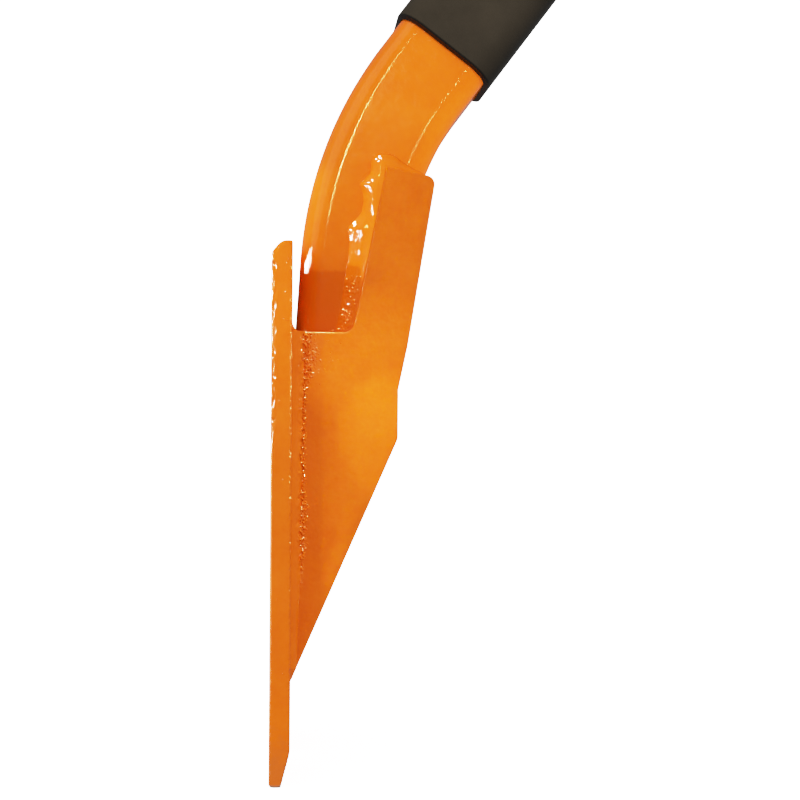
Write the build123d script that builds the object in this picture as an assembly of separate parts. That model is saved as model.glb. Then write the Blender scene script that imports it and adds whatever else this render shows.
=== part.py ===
from build123d import *
import math
import os

# Demolition bar: a chisel blade carried by two gussets on a bent square tube, all welded,
# with a rubber sleeve over the straight handle.
# Frame: origin at the centre of the sole, the blade's front face. +X runs from the sole
# towards the handle, +Y across the blade and +Z from the tip to the heel.
# Heights are measured up from the tip, depths back from the sole. All sizes in millimetres.

# Blade
BLADE_LENGTH = 199.0
BLADE_WIDTH = 80.0
BLADE_THICKNESS = 7.6
TIP_BEVEL_LENGTH = 12.6
TIP_BEVEL_ROUND = 12.0
TIP_EDGE_THICKNESS = 4.3
TIP_EDGE_ROUND = 1.5
HEEL_CHAMFER_LENGTH = 4.4
HEEL_CHAMFER_DEPTH = 3.6
HEEL_CHAMFER_ROUND = 3.0
NAIL_SLOT_DEPTH = 34.0
NAIL_SLOT_MOUTH = 16.0
NAIL_SLOT_ROOT = 6.0

# Bent square tube: a short leg behind the blade, one bend, then the straight handle
TUBE_SIDE = 40.0
TUBE_WALL = 3.0
TUBE_CORNER_RADIUS = 9.0
TUBE_FOOT_HEIGHT = 148.0
LEG_LENGTH = 46.4
LEG_LEAN = 3.6
BEND_RADIUS = 136.0
HANDLE_LENGTH = 780.0
HANDLE_LEAN = 36.8

# Gussets: flat plates against the sides of the tube
GUSSET_THICKNESS = 6.0
GUSSET_FOOT_HEIGHT = 35.4
BELLY_DEPTH = 39.9
BELLY_LOW_HEIGHT = 126.5
BELLY_HIGH_HEIGHT = 145.0
SHOULDER_HEIGHT = 161.9
SHOULDER_OVERHANG = 2.5
ARM_REAR_HEIGHT = 225.4
ARM_REAR_OVERHANG = 3.7
ARM_TOP_WIDTH = 19.1
ARM_TOP_SLOPE = 11.0
NOTCH_HEIGHT = 166.6
NOTCH_WIDTH = 22.6
NOTCH_CORNER_RADIUS = 4.0
ARM_CORNER_RADIUS = 3.4
BELLY_CORNER_RADIUS = 5.0
PLATE_EDGE_ROUND = 0.8

# Weld beads
BLADE_WELD_TOP_LEG = 4.6
BLADE_WELD_FOOT_LEG = 2.4
BLADE_WELD_FOOT_GAP = 3.6
BLADE_WELD_RETURN_DEPTH = 2.6
BLADE_WELD_RETURN_HEIGHT = 3.5
ARM_WELD_LEGS = (6.2, 5.6, 5.8, 8.0, 5.0, 7.4)
ARM_WELD_START = 1.5
TOP_WELD_FRONT_LEG = 4.0
TOP_WELD_REAR_LEG = 1.2
TOP_WELD_LENGTH = 14.0
BACK_WELD_THROAT = 2.2
BACK_WELD_LEG = 8.0
BACK_WELD_START_GAP = 0.6
BACK_WELD_END_GAP = 7.0
FOOT_WELD_LEG = 4.0
BEAD_CROWN = 0.12
BEAD_FACETS = 4

# Grip sleeve and end plug
SLEEVE_WALL = 2.15
SLEEVE_CLEARANCE = 0.1
SLEEVE_START = 12.8
SLEEVE_RIM_BEVEL = 0.6
PLUG_HEAD_THICKNESS = 4.0
PLUG_HEAD_BEVEL = 1.5
PLUG_SHANK_LENGTH = 20.0
PLUG_SHANK_WALL = 2.5
PLUG_RIB_COUNT = 3
PLUG_RIB_THICKNESS = 1.6
PLUG_RIB_HEIGHT = 1.8
PLUG_CLEARANCE = 0.1

# Worked out from the sizes above
HALF_SIDE = TUBE_SIDE / 2
TUBE_FLAT = HALF_SIDE - TUBE_CORNER_RADIUS
GUSSET_OUTSIDE = HALF_SIDE + GUSSET_THICKNESS
SLEEVE_BORE = TUBE_SIDE + 2 * SLEEVE_CLEARANCE
SLEEVE_OUTSIDE = SLEEVE_BORE + 2 * SLEEVE_WALL
SLEEVE_BORE_RADIUS = TUBE_CORNER_RADIUS + SLEEVE_CLEARANCE
SLEEVE_CORNER_RADIUS = SLEEVE_BORE_RADIUS + SLEEVE_WALL


def at_height(height):
    """Z of a height above the tip."""
    return height - BLADE_LENGTH / 2


def along(lean):
    """Unit vector up the tube where it leans back by this angle."""
    angle = math.radians(lean)
    return Vector(math.sin(angle), 0, math.cos(angle))


def rearward(lean):
    """Unit vector square to the tube, out of its rear face."""
    angle = math.radians(lean)
    return Vector(math.cos(angle), 0, -math.sin(angle))


# Tube axis: the front edge of its lower end touches the back of the blade
FOOT_POINT = Vector(BLADE_THICKNESS, 0, at_height(TUBE_FOOT_HEIGHT))
AXIS_FOOT = FOOT_POINT + rearward(LEG_LEAN) * HALF_SIDE
BEND_START = AXIS_FOOT + along(LEG_LEAN) * LEG_LENGTH
BEND_CENTRE = BEND_START + rearward(LEG_LEAN) * BEND_RADIUS


def bend_axis(lean):
    """Point of the tube's axis in the bend, where it leans by this angle."""
    return BEND_CENTRE - rearward(lean) * BEND_RADIUS


BEND_END = bend_axis(HANDLE_LEAN)
AXIS_END = BEND_END + along(HANDLE_LEAN) * HANDLE_LENGTH


def axis_path(start, end_lean):
    """Axis from a point on the leg round the bend to a given lean."""
    middle = bend_axis((LEG_LEAN + end_lean) / 2)
    return Line(start, BEND_START) + ThreePointArc(BEND_START, middle, bend_axis(end_lean))


def tube_plane(origin, lean):
    """Plane square to the tube, with local X out of the rear face."""
    return Plane(origin=origin, x_dir=rearward(lean), z_dir=along(lean))


def tube_rear_depth(height):
    """Depth of the tube's rear face at a height, on the leg or in the bend."""
    z = at_height(height)
    inner_radius = BEND_RADIUS - HALF_SIDE
    rear_start = BEND_START + rearward(LEG_LEAN) * HALF_SIDE
    if z <= rear_start.Z:
        return rear_start.X - (rear_start.Z - z) * math.tan(math.radians(LEG_LEAN))
    return BEND_CENTRE.X - math.sqrt(inner_radius**2 - (z - BEND_CENTRE.Z) ** 2)


# Gusset corners, as depth from the sole and Z
SHOULDER = Vector(tube_rear_depth(SHOULDER_HEIGHT) + SHOULDER_OVERHANG, at_height(SHOULDER_HEIGHT))
ARM_REAR = Vector(tube_rear_depth(ARM_REAR_HEIGHT) + ARM_REAR_OVERHANG, at_height(ARM_REAR_HEIGHT))
ARM_FRONT = ARM_REAR + Vector(-ARM_TOP_WIDTH, 0).rotate(Axis.Z, -ARM_TOP_SLOPE)
NOTCH_CORNER = Vector(BLADE_THICKNESS + NOTCH_WIDTH, at_height(NOTCH_HEIGHT))
NOTCH_MOUTH = Vector(BLADE_THICKNESS, at_height(NOTCH_HEIGHT))
GUSSET_FOOT = Vector(BLADE_THICKNESS, at_height(GUSSET_FOOT_HEIGHT))
BELLY_LOW = Vector(BLADE_THICKNESS + BELLY_DEPTH, at_height(BELLY_LOW_HEIGHT))
BELLY_HIGH = Vector(BLADE_THICKNESS + BELLY_DEPTH, at_height(BELLY_HIGH_HEIGHT))
ARM_LINE = ARM_FRONT - NOTCH_CORNER


def rounded_corner(face, corner, radius):
    """Round the corner of a flat outline that lies at this point."""
    vertex = face.vertices().sort_by_distance(corner)[0]
    return fillet(vertex, radius)


def side_plane(y):
    """Plane of a side view: local X is depth, local Y is Z, local Z is -Y."""
    return Plane(origin=(0, y, 0), x_dir=(1, 0, 0), z_dir=(0, -1, 0))


def bead_section(plane, base_leg, wall_leg, root=0.0):
    """Fillet weld section with a slightly crowned face; root deepens it below the base."""
    crown = Vector(1, 1) * BEAD_CROWN * (base_leg + wall_leg) / 2
    toe = Vector(base_leg, 0)
    top = Vector(0, wall_leg)
    shares = [step / BEAD_FACETS for step in range(BEAD_FACETS + 1)]
    outline = [toe + (top - toe) * share + crown * 4 * share * (1 - share) for share in shares]
    outline.append(Vector(0, -root))
    if root:
        outline.append(Vector(base_leg, -root))
    return plane * make_face(Polyline(*outline, close=True))


def make_blade():
    """Flat plate with a chisel tip, a chamfered heel and a tapered nail slot."""
    tip = at_height(0)
    heel = at_height(BLADE_LENGTH)
    tip_edge = Vector(0, tip)
    bevel_top = Vector(BLADE_THICKNESS, tip + TIP_BEVEL_LENGTH)
    heel_low = Vector(0, heel - HEEL_CHAMFER_LENGTH)
    heel_high = Vector(HEEL_CHAMFER_DEPTH, heel)
    heel_back = Vector(BLADE_THICKNESS, heel)
    bevel_foot = Vector(TIP_EDGE_THICKNESS, tip)
    profile = make_face(Polyline(tip_edge, heel_low, heel_high, heel_back, bevel_top, bevel_foot, close=True))
    profile = rounded_corner(profile, tip_edge, TIP_EDGE_ROUND)
    profile = rounded_corner(profile, bevel_top, TIP_BEVEL_ROUND)
    profile = rounded_corner(profile, heel_low, HEEL_CHAMFER_ROUND)
    profile = rounded_corner(profile, heel_high, HEEL_CHAMFER_ROUND)
    blade = extrude(side_plane(0) * profile, BLADE_WIDTH / 2, both=True)
    long_edges = blade.edges().filter_by(Axis.Z).group_by(lambda edge: abs(edge.center().Y))[-1]
    blade = fillet(long_edges, PLATE_EDGE_ROUND)

    mouth = NAIL_SLOT_MOUTH / 2
    root = NAIL_SLOT_ROOT / 2
    root_z = tip + NAIL_SLOT_DEPTH - root
    slot_sides = Polyline((-root, root_z), (-mouth, tip), (mouth, tip), (root, root_z))
    slot_root = ThreePointArc((root, root_z), (0, root_z + root), (-root, root_z))
    slot = make_face(slot_sides + slot_root)
    return blade - extrude(Plane.YZ * slot, BLADE_THICKNESS)


def make_gusset():
    """Left side plate: a long taper behind the blade, a notch, and an arm on the tube."""
    corners = (GUSSET_FOOT, BELLY_LOW, BELLY_HIGH, SHOULDER, ARM_REAR, ARM_FRONT, NOTCH_CORNER, NOTCH_MOUTH)
    outline = make_face(Polyline(*corners, close=True))
    outline = rounded_corner(outline, NOTCH_CORNER, NOTCH_CORNER_RADIUS)
    outline = rounded_corner(outline, ARM_REAR, ARM_CORNER_RADIUS)
    outline = rounded_corner(outline, BELLY_LOW, BELLY_CORNER_RADIUS)
    plate = extrude(side_plane(-HALF_SIDE) * outline, GUSSET_THICKNESS)

    top_middle = (ARM_FRONT + ARM_REAR) / 2
    front_middle = (ARM_FRONT + NOTCH_CORNER) / 2
    near = ARM_TOP_WIDTH / 3

    def is_free_edge(edge):
        middle = edge.center()
        spot = Vector(middle.X, middle.Z)
        on_blade = middle.X < BLADE_THICKNESS + PLATE_EDGE_ROUND
        on_bead = (spot - top_middle).length < near or (spot - front_middle).length < near
        return not (on_blade or on_bead)

    outline_edges = plate.edges() - plate.edges().filter_by(Axis.Y)
    return fillet(outline_edges.filter_by(is_free_edge), PLATE_EDGE_ROUND)


def make_tube():
    """Square tube with round corners, swept along the leg, the bend and the handle."""
    bore = TUBE_SIDE - 2 * TUBE_WALL
    section = RectangleRounded(TUBE_SIDE, TUBE_SIDE, TUBE_CORNER_RADIUS)
    section -= RectangleRounded(bore, bore, TUBE_CORNER_RADIUS - TUBE_WALL)
    path = axis_path(AXIS_FOOT, HANDLE_LEAN) + Line(BEND_END, AXIS_END)
    return sweep(tube_plane(AXIS_FOOT, LEG_LEAN) * section, path=path)


def make_sleeve():
    """Rubber sleeve from just above the bend to the end of the tube."""
    start = BEND_END + along(HANDLE_LEAN) * SLEEVE_START
    section = RectangleRounded(SLEEVE_OUTSIDE, SLEEVE_OUTSIDE, SLEEVE_CORNER_RADIUS)
    section -= RectangleRounded(SLEEVE_BORE, SLEEVE_BORE, SLEEVE_BORE_RADIUS)
    sleeve = extrude(tube_plane(start, HANDLE_LEAN) * section, HANDLE_LENGTH - SLEEVE_START)
    end_face = sleeve.faces().sort_by_distance(start)[0]
    return chamfer(end_face.outer_wire().edges(), SLEEVE_RIM_BEVEL)


def make_plug():
    """Insert plug: a bevelled head on the tube's end and a ribbed hollow shank in its bore."""
    rib_side = TUBE_SIDE - 2 * TUBE_WALL - 2 * PLUG_CLEARANCE
    rib_radius = TUBE_CORNER_RADIUS - TUBE_WALL - PLUG_CLEARANCE
    shank_side = rib_side - 2 * PLUG_RIB_HEIGHT
    shank_radius = rib_radius - PLUG_RIB_HEIGHT
    hollow_side = shank_side - 2 * PLUG_SHANK_WALL
    hollow_radius = max(shank_radius - PLUG_SHANK_WALL, PLUG_SHANK_WALL / 4)
    end = tube_plane(AXIS_END, HANDLE_LEAN)

    head_section = RectangleRounded(SLEEVE_OUTSIDE, SLEEVE_OUTSIDE, SLEEVE_CORNER_RADIUS)
    head = extrude(end * head_section, PLUG_HEAD_THICKNESS)
    head_face = head.faces().sort_by(Axis(AXIS_END, along(HANDLE_LEAN)))[-1]
    head = chamfer(head_face.edges(), PLUG_HEAD_BEVEL)

    shank_section = RectangleRounded(shank_side, shank_side, shank_radius)
    shank_section -= RectangleRounded(hollow_side, hollow_side, hollow_radius)
    plug = head + extrude(end * shank_section, -PLUG_SHANK_LENGTH)
    rib_section = RectangleRounded(rib_side, rib_side, rib_radius)
    rib_section -= RectangleRounded(hollow_side, hollow_side, hollow_radius)
    rib_pitch = PLUG_SHANK_LENGTH / PLUG_RIB_COUNT
    for rib in range(PLUG_RIB_COUNT):
        rib_end = rib_pitch * (rib + 1)
        place = AXIS_END - along(HANDLE_LEAN) * rib_end
        plug += extrude(tube_plane(place, HANDLE_LEAN) * rib_section, PLUG_RIB_THICKNESS)
    return plug


def make_blade_weld():
    """Left fillet between blade and gusset, run out at the gusset's foot and turned onto the notch."""
    slant = (BELLY_LOW_HEIGHT - GUSSET_FOOT_HEIGHT) / BELLY_DEPTH
    edge_round = PLATE_EDGE_ROUND * math.hypot(1, 1 / slant)
    run_out_leg = BLADE_WELD_FOOT_GAP / slant - edge_round
    full_height = GUSSET_FOOT_HEIGHT + (BLADE_WELD_FOOT_LEG + edge_round) * slant

    def section(height, leg):
        origin = (BLADE_THICKNESS, -GUSSET_OUTSIDE, at_height(height))
        return bead_section(Plane(origin=origin, x_dir=(1, 0, 0), z_dir=(0, 0, -1)), leg, leg)

    bead = loft(
        [
            section(GUSSET_FOOT_HEIGHT + BLADE_WELD_FOOT_GAP, run_out_leg),
            section(full_height, BLADE_WELD_FOOT_LEG),
            section(NOTCH_HEIGHT, BLADE_WELD_TOP_LEG),
        ],
        ruled=True,
    )
    end = Polyline(
        NOTCH_MOUTH,
        NOTCH_MOUTH + Vector(BLADE_WELD_RETURN_DEPTH, 0),
        NOTCH_MOUTH + Vector(0, BLADE_WELD_RETURN_HEIGHT),
        close=True,
    )
    return bead + extrude(side_plane(-HALF_SIDE) * make_face(end), GUSSET_THICKNESS + BLADE_WELD_TOP_LEG / 2)


def arm_weld_plane(distance):
    """Plane across the arm's front edge: local X forward off the arm, local Y out from the tube."""
    spot = NOTCH_CORNER + ARM_LINE.normalized() * distance
    edge = Vector(ARM_LINE.X, 0, ARM_LINE.Y).normalized()
    forward = Vector(-edge.Z, 0, edge.X)
    return Plane(origin=(spot.X, -HALF_SIDE, spot.Y), x_dir=forward, z_dir=forward.cross(Vector(0, -1, 0)))


def make_arm_front_weld(gusset):
    """Left bead along the arm's front edge, uneven as a hand-made weld is."""
    last = len(ARM_WELD_LEGS) - 1
    run = ARM_LINE.length - ARM_WELD_START
    sections = [
        bead_section(arm_weld_plane(ARM_WELD_START + run * index / last), leg, GUSSET_THICKNESS)
        for index, leg in enumerate(ARM_WELD_LEGS)
    ]
    return loft(sections, ruled=True) - gusset


def make_arm_top_weld(gusset, tube, front_weld):
    """Left bead over the top of the arm, from the front bead back to the tube's round corner."""
    rear = (ARM_REAR - ARM_FRONT).normalized()
    up = Vector(-rear.Y, 0, rear.X)
    front_end = ARM_FRONT - rear * ARM_WELD_LEGS[-1] / 2
    rear_end = ARM_FRONT + rear * TOP_WELD_LENGTH

    def section(spot, leg, height):
        origin = (spot.X, -HALF_SIDE, spot.Y)
        plane = Plane(origin=origin, x_dir=up, z_dir=up.cross(Vector(0, -1, 0)))
        return bead_section(plane, leg, height, root=TUBE_WALL)

    bead = loft(
        [
            section(front_end, TOP_WELD_FRONT_LEG, GUSSET_THICKNESS / 2),
            section(ARM_FRONT, TOP_WELD_FRONT_LEG, GUSSET_THICKNESS),
            section(rear_end, TOP_WELD_REAR_LEG, GUSSET_THICKNESS / 2),
        ],
        ruled=True,
    )
    return bead - gusset - tube - front_weld


def make_arm_back_weld(tube):
    """Left flare bead between the arm's overhang and the tube's rear corner, from shoulder to arm top."""
    lean = math.radians(LEG_LEAN)
    rear_foot_z = AXIS_FOOT.Z - HALF_SIDE * math.sin(lean)
    shoulder_distance = (at_height(SHOULDER_HEIGHT) - rear_foot_z) / math.cos(lean)
    start = AXIS_FOOT + along(LEG_LEAN) * (max(shoulder_distance, 0) + BACK_WELD_START_GAP)
    end_rise = at_height(ARM_REAR_HEIGHT - BACK_WELD_END_GAP) - BEND_CENTRE.Z
    end_lean = math.degrees(math.asin(end_rise / (BEND_RADIUS - HALF_SIDE)))
    inside_wall = (TUBE_CORNER_RADIUS - TUBE_WALL / 2) / math.sqrt(2)
    groove = Polyline(
        (TUBE_FLAT, -HALF_SIDE),
        (HALF_SIDE + BACK_WELD_THROAT, -HALF_SIDE),
        (HALF_SIDE, BACK_WELD_LEG - HALF_SIDE),
        (TUBE_FLAT + inside_wall, -TUBE_FLAT - inside_wall),
        close=True,
    )
    plane = tube_plane(start, LEG_LEAN)
    bead = sweep(plane * make_face(groove), path=axis_path(start, end_lean))
    return bead - tube


def make_foot_weld():
    """Short bead between the tube's lower end and the back of the blade."""
    end_face = rearward(LEG_LEAN)
    corner = Vector(FOOT_POINT.X, FOOT_POINT.Z)
    toe = corner + Vector(end_face.X, end_face.Z) * TUBE_WALL
    outline = Polyline(corner, toe, corner - Vector(0, FOOT_WELD_LEG), close=True)
    return extrude(side_plane(0) * make_face(outline), TUBE_FLAT, both=True)


def right_hand(left):
    """The same piece on the other side of the bar."""
    return mirror(left, about=Plane.XZ)


def make_parts():
    tube = make_tube()
    gusset = make_gusset()
    front_weld = make_arm_front_weld(gusset)
    pairs = {
        "gusset": gusset,
        "weld_blade": make_blade_weld(),
        "weld_arm_front": front_weld,
        "weld_arm_top": make_arm_top_weld(gusset, tube, front_weld),
        "weld_arm_back": make_arm_back_weld(tube),
    }
    parts = {
        "blade": make_blade(),
        "handle_tube": tube,
        "grip_sleeve": make_sleeve(),
        "end_plug": make_plug(),
        "weld_tube_foot": make_foot_weld(),
    }
    for name, left in pairs.items():
        parts[name + "_left"] = left
        parts[name + "_right"] = right_hand(left)
    return parts


os.makedirs("parts", exist_ok=True)
for node, shape in make_parts().items():
    export_step(shape, f"parts/{node}.step")
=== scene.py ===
import random
from math import atan, copysign, cos, exp, hypot, pi, radians, sin, sqrt

import bpy
import bmesh
from mathutils import Matrix, Vector, noise
from mathutils.bvhtree import BVHTree


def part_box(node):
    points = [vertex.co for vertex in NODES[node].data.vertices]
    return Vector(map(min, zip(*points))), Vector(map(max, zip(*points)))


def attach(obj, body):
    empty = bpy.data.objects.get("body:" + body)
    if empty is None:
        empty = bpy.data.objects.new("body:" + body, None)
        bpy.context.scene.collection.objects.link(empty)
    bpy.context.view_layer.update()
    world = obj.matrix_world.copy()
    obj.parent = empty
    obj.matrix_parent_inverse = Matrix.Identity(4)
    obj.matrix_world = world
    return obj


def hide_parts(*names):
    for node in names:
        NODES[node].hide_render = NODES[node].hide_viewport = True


# Demolition bar: orange glossy paint over welded steel, with a black rubber sleeve on the handle.
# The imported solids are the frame. Blade, tube, sleeve and weld beads are remade here as finer meshes
# in the same places, and weld crust and spatter are added. Sizes are in metres, unless a comment
# says millimetres. Noise takes the size of its bumps in millimetres.

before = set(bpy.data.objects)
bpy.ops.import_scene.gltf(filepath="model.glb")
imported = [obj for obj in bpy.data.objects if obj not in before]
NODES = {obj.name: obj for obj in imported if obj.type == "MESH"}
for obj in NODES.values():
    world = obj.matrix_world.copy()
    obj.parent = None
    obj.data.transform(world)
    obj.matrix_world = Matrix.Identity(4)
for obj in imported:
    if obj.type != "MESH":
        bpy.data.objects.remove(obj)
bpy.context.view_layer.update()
MM = 0.001

# Places read from the frame
BLADE_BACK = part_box("blade")[1].x
BLADE_HALF_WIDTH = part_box("blade")[1].y
TIP_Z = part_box("blade")[0].z
HEEL_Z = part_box("blade")[1].z
TUBE_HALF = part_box("handle_tube")[1].y
GUSSET_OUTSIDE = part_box("gusset_right")[1].y
GUSSET_FOOT_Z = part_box("gusset_left")[0].z
GUSSET_THICKNESS = GUSSET_OUTSIDE - TUBE_HALF

# Bent tube: lower end of its axis, leg, bend and straight handle
AXIS_FOOT = Vector((27.56, 0.0, 47.24)) * MM
LEG_LENGTH = 46.4 * MM
LEG_LEAN = radians(3.6)
BEND_RADIUS = 136.0 * MM
HANDLE_LEAN = radians(36.8)
HANDLE_LENGTH = 780.0 * MM
BEND_LENGTH = BEND_RADIUS * (HANDLE_LEAN - LEG_LEAN)
TUBE_LENGTH = LEG_LENGTH + BEND_LENGTH + HANDLE_LENGTH
TUBE_WALL = 3.0 * MM
TUBE_CORNER = 9.0 * MM
TUBE_FLAT = TUBE_HALF - TUBE_CORNER

# Sleeve over the handle
SLEEVE_START = LEG_LENGTH + BEND_LENGTH + 12.8 * MM
SLEEVE_HALF = 22.25 * MM
SLEEVE_BORE_HALF = 20.1 * MM
SLEEVE_CORNER = 11.25 * MM
SLEEVE_BORE_CORNER = 9.1 * MM

# Arm of the gusset, as (depth, height) of its corners
ARM_FOOT = Vector((30.2, 67.1)) * MM
ARM_FRONT = Vector((42.6, 129.5)) * MM
ARM_REAR = Vector((61.4, 125.9)) * MM

# Slanted edge of the gusset, from its foot to its belly: height gained for each unit of depth
GUSSET_SLANT = 91.1 / 39.9

# Angles above which an edge of a smooth mesh stays crisp
PLAIN_CREASE = radians(40)
BLADE_CREASE = radians(50)
BEAD_CREASE = radians(75)

# Camera of the photograph
CAMERA_PLACE = Vector((7.27, -500.0, 41.62)) * MM
CAMERA_YAW = radians(4.933)
CAMERA_ROLL = radians(0.36)
CAMERA_LENS = 56.835
CAMERA_SENSOR = 36.0
CAMERA_NEAR = 0.01
CAMERA_FAR = 50.0


# Numbers and meshes

def ease(place, start=0.0, length=1.0):
    """Smooth step: 0 up to a start, and 1 from a length further on."""
    share = min(max((place - start) / length, 0.0), 1.0)
    return share * share * (3.0 - 2.0 * share)


def bell(offset, width):
    """Bell curve: 1 at no offset, fading out over a width."""
    return exp(-(offset / width) ** 2)


def between(pairs, place):
    """Value at a place, from a list of (place, value) pairs in rising order."""
    if place <= pairs[0][0]:
        return pairs[0][1]
    for (start, low), (end, high) in zip(pairs, pairs[1:]):
        if place <= end:
            return low + (high - low) * (place - start) / (end - start)
    return pairs[-1][1]


def stations(start, end, pitch):
    """Evenly spaced distances from start up to end, about a pitch apart."""
    count = max(1, round((end - start) / pitch))
    return [start + (end - start) * index / count for index in range(count + 1)]


def shares(steps):
    """Shares from 0 to 1 in even steps."""
    return [step / steps for step in range(steps + 1)]


def lumps(point, size, seed):
    """Smooth noise from about -1 to 1, with bumps of a size in millimetres."""
    return noise.noise(point / (size * MM) + Vector((seed * 7.31, seed * 3.17, seed)))


def dents(point, size, seed):
    """The same noise from about 0 to 1."""
    return 0.5 + 0.5 * lumps(point, size, seed)


def hand(side):
    """Word for a side of the bar."""
    return "left" if side < 0 else "right"


def new_object(name, data):
    """Object in the scene for a mesh, a light or a camera."""
    item = bpy.data.objects.new(name, data)
    bpy.context.scene.collection.objects.link(item)
    return item


def add_rings(work, rings, closed=False):
    """Skin a row of rings of as many points each, joined end to end if closed and otherwise capped."""
    rows = [[work.verts.new(point) for point in ring] for ring in rings]
    pairs = list(zip(rows, rows[1:]))
    if closed:
        pairs.append((rows[-1], rows[0]))
    for row, following in pairs:
        count = len(row)
        for index in range(count):
            after = (index + 1) % count
            work.faces.new((row[index], row[after], following[after], following[index]))
    if not closed:
        work.faces.new(list(reversed(rows[0])))
        work.faces.new(rows[-1])


def new_piece(name, work, material, replaced=(), crease=None):
    """Smooth piece from a bmesh, riding on the bar, with edges over the crease angle kept crisp."""
    bmesh.ops.recalc_face_normals(work, faces=work.faces)
    mesh = bpy.data.meshes.new(name)
    work.to_mesh(mesh)
    work.free()
    for face in mesh.polygons:
        face.use_smooth = True
    if crease:
        mesh.set_sharp_from_angle(angle=crease)
    mesh.materials.append(material)
    piece = new_object(name, mesh)
    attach(piece, "root")
    if replaced:
        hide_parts(*replaced)
    return piece


def ringed_piece(name, rows, material, replaced, crease=BEAD_CREASE, closed=False):
    """Piece skinned over rows of rings, in place of the solids named: a weld bead, unless told otherwise."""
    work = bmesh.new()
    for rings in rows:
        add_rings(work, rings, closed)
    return new_piece(name, work, material, replaced, crease)


# Tube and sleeve

# Steps round each corner and along each flat of a section
TUBE_STEPS = (24, 8)
SLEEVE_STEPS = (10, 10)

# Pitch of the rings where the tube shows, and inside the sleeve
SHOWN_PITCH = 1.5 * MM
HIDDEN_PITCH = 60.0 * MM


def upward(lean):
    """Unit vector along the tube where it leans back by this angle."""
    return Vector((sin(lean), 0.0, cos(lean)))


def rearward(lean):
    """Unit vector out of the tube's rear face there."""
    return Vector((cos(lean), 0.0, -sin(lean)))


def axis_at(distance):
    """Point of the tube's axis this far from its lower end, and its lean there."""
    point = AXIS_FOOT + upward(LEG_LEAN) * min(distance, LEG_LENGTH)
    if distance <= LEG_LENGTH:
        return point, LEG_LEAN
    lean = LEG_LEAN + min(distance - LEG_LENGTH, BEND_LENGTH) / BEND_RADIUS
    centre = point + rearward(LEG_LEAN) * BEND_RADIUS
    beyond = max(distance - LEG_LENGTH - BEND_LENGTH, 0.0)
    return centre - rearward(lean) * BEND_RADIUS + upward(lean) * beyond, lean


def tube_point(distance, back, across):
    """Point by its distance along the tube and its place in the section."""
    point, lean = axis_at(distance)
    return point + rearward(lean) * back + Vector((0.0, across, 0.0))


def drawn_in(point, distance, shift):
    """Point of the skin at a distance along the tube, moved towards the axis."""
    return point - (point - axis_at(distance)[0]).normalized() * shift


def rounded_square(half, corner, corner_steps, flat_steps):
    """Outline of a square section with round corners, as (back, across) pairs."""
    flat = half - corner
    outline = []
    for quarter in range(4):
        start = quarter * pi / 2
        middle = start + pi / 4
        centre = Vector((copysign(flat, cos(middle)), copysign(flat, sin(middle))))
        for share in shares(corner_steps):
            angle = start + share * pi / 2
            outline.append(centre + Vector((cos(angle), sin(angle))) * corner)
        turned = Vector((-sin(angle), cos(angle)))
        side_start = outline[-1].copy()
        for step in range(1, flat_steps):
            outline.append(side_start + turned * (2 * flat * step / flat_steps))
    return outline


def make_tube(material):
    """Bent square tube with its bore, a little wavy and streaked as drawn and bent stock is."""
    wave = 0.07 * MM
    wave_size = 16.0
    streak = 0.05 * MM
    streak_width = 1.9
    streak_stretch = 30.0
    shown_end = SLEEVE_START + 8.0 * MM
    places = stations(0.0, shown_end, SHOWN_PITCH) + stations(shown_end, TUBE_LENGTH, HIDDEN_PITCH)[1:]
    outside = rounded_square(TUBE_HALF, TUBE_CORNER, *TUBE_STEPS)
    inside = rounded_square(TUBE_HALF - TUBE_WALL, TUBE_CORNER - TUBE_WALL, *TUBE_STEPS)
    rings = []
    for distance in places:
        ring = []
        for back, across in outside:
            point = tube_point(distance, back, across)
            streak_place = Vector((back, across, distance / streak_stretch))
            shift = wave * dents(point, wave_size, seed=3)
            shift += streak * dents(streak_place, streak_width, seed=4)
            ring.append(drawn_in(point, distance, shift))
        rings.append(ring)
    for distance in reversed(places):
        rings.append([tube_point(distance, back, across) for back, across in inside])
    return ringed_piece("tube_body", [rings], material, ["handle_tube"], PLAIN_CREASE, closed=True)


def sleeve_ring(distance, half, corner, uneven):
    """Ring of the sleeve, drawn in here and there by up to an uneven depth."""
    dent_size = 28.0
    ring = []
    for back, across in rounded_square(half, corner, *SLEEVE_STEPS):
        point = tube_point(distance, back, across)
        ring.append(drawn_in(point, distance, uneven * dents(point, dent_size, seed=5)))
    return ring


def make_sleeve(material):
    """Rubber sleeve with a bevelled, slightly uneven cut end on the tube, and its bore."""
    bevel = 0.6 * MM
    edge = 0.25 * MM
    uneven = 0.12 * MM
    uneven_end = SLEEVE_START + 20.0 * MM
    rings = []
    for distance in (TUBE_LENGTH, uneven_end, SLEEVE_START + bevel + edge):
        rings.append(sleeve_ring(distance, SLEEVE_HALF, SLEEVE_CORNER, uneven))
    rings.append(sleeve_ring(SLEEVE_START + bevel, SLEEVE_HALF - edge / 2, SLEEVE_CORNER - edge / 2, uneven))
    rings.append(sleeve_ring(SLEEVE_START, SLEEVE_BORE_HALF + edge, SLEEVE_BORE_CORNER + edge, 0.0))
    for distance in stations(SLEEVE_START + edge, TUBE_LENGTH, HIDDEN_PITCH):
        rings.append(sleeve_ring(distance, SLEEVE_BORE_HALF, SLEEVE_BORE_CORNER, 0.0))
    name = "rubber_sleeve"
    return ringed_piece(name, [rings], material, ["grip_sleeve"], PLAIN_CREASE, closed=True)


# Weld bead along the arm of the gusset

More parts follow.
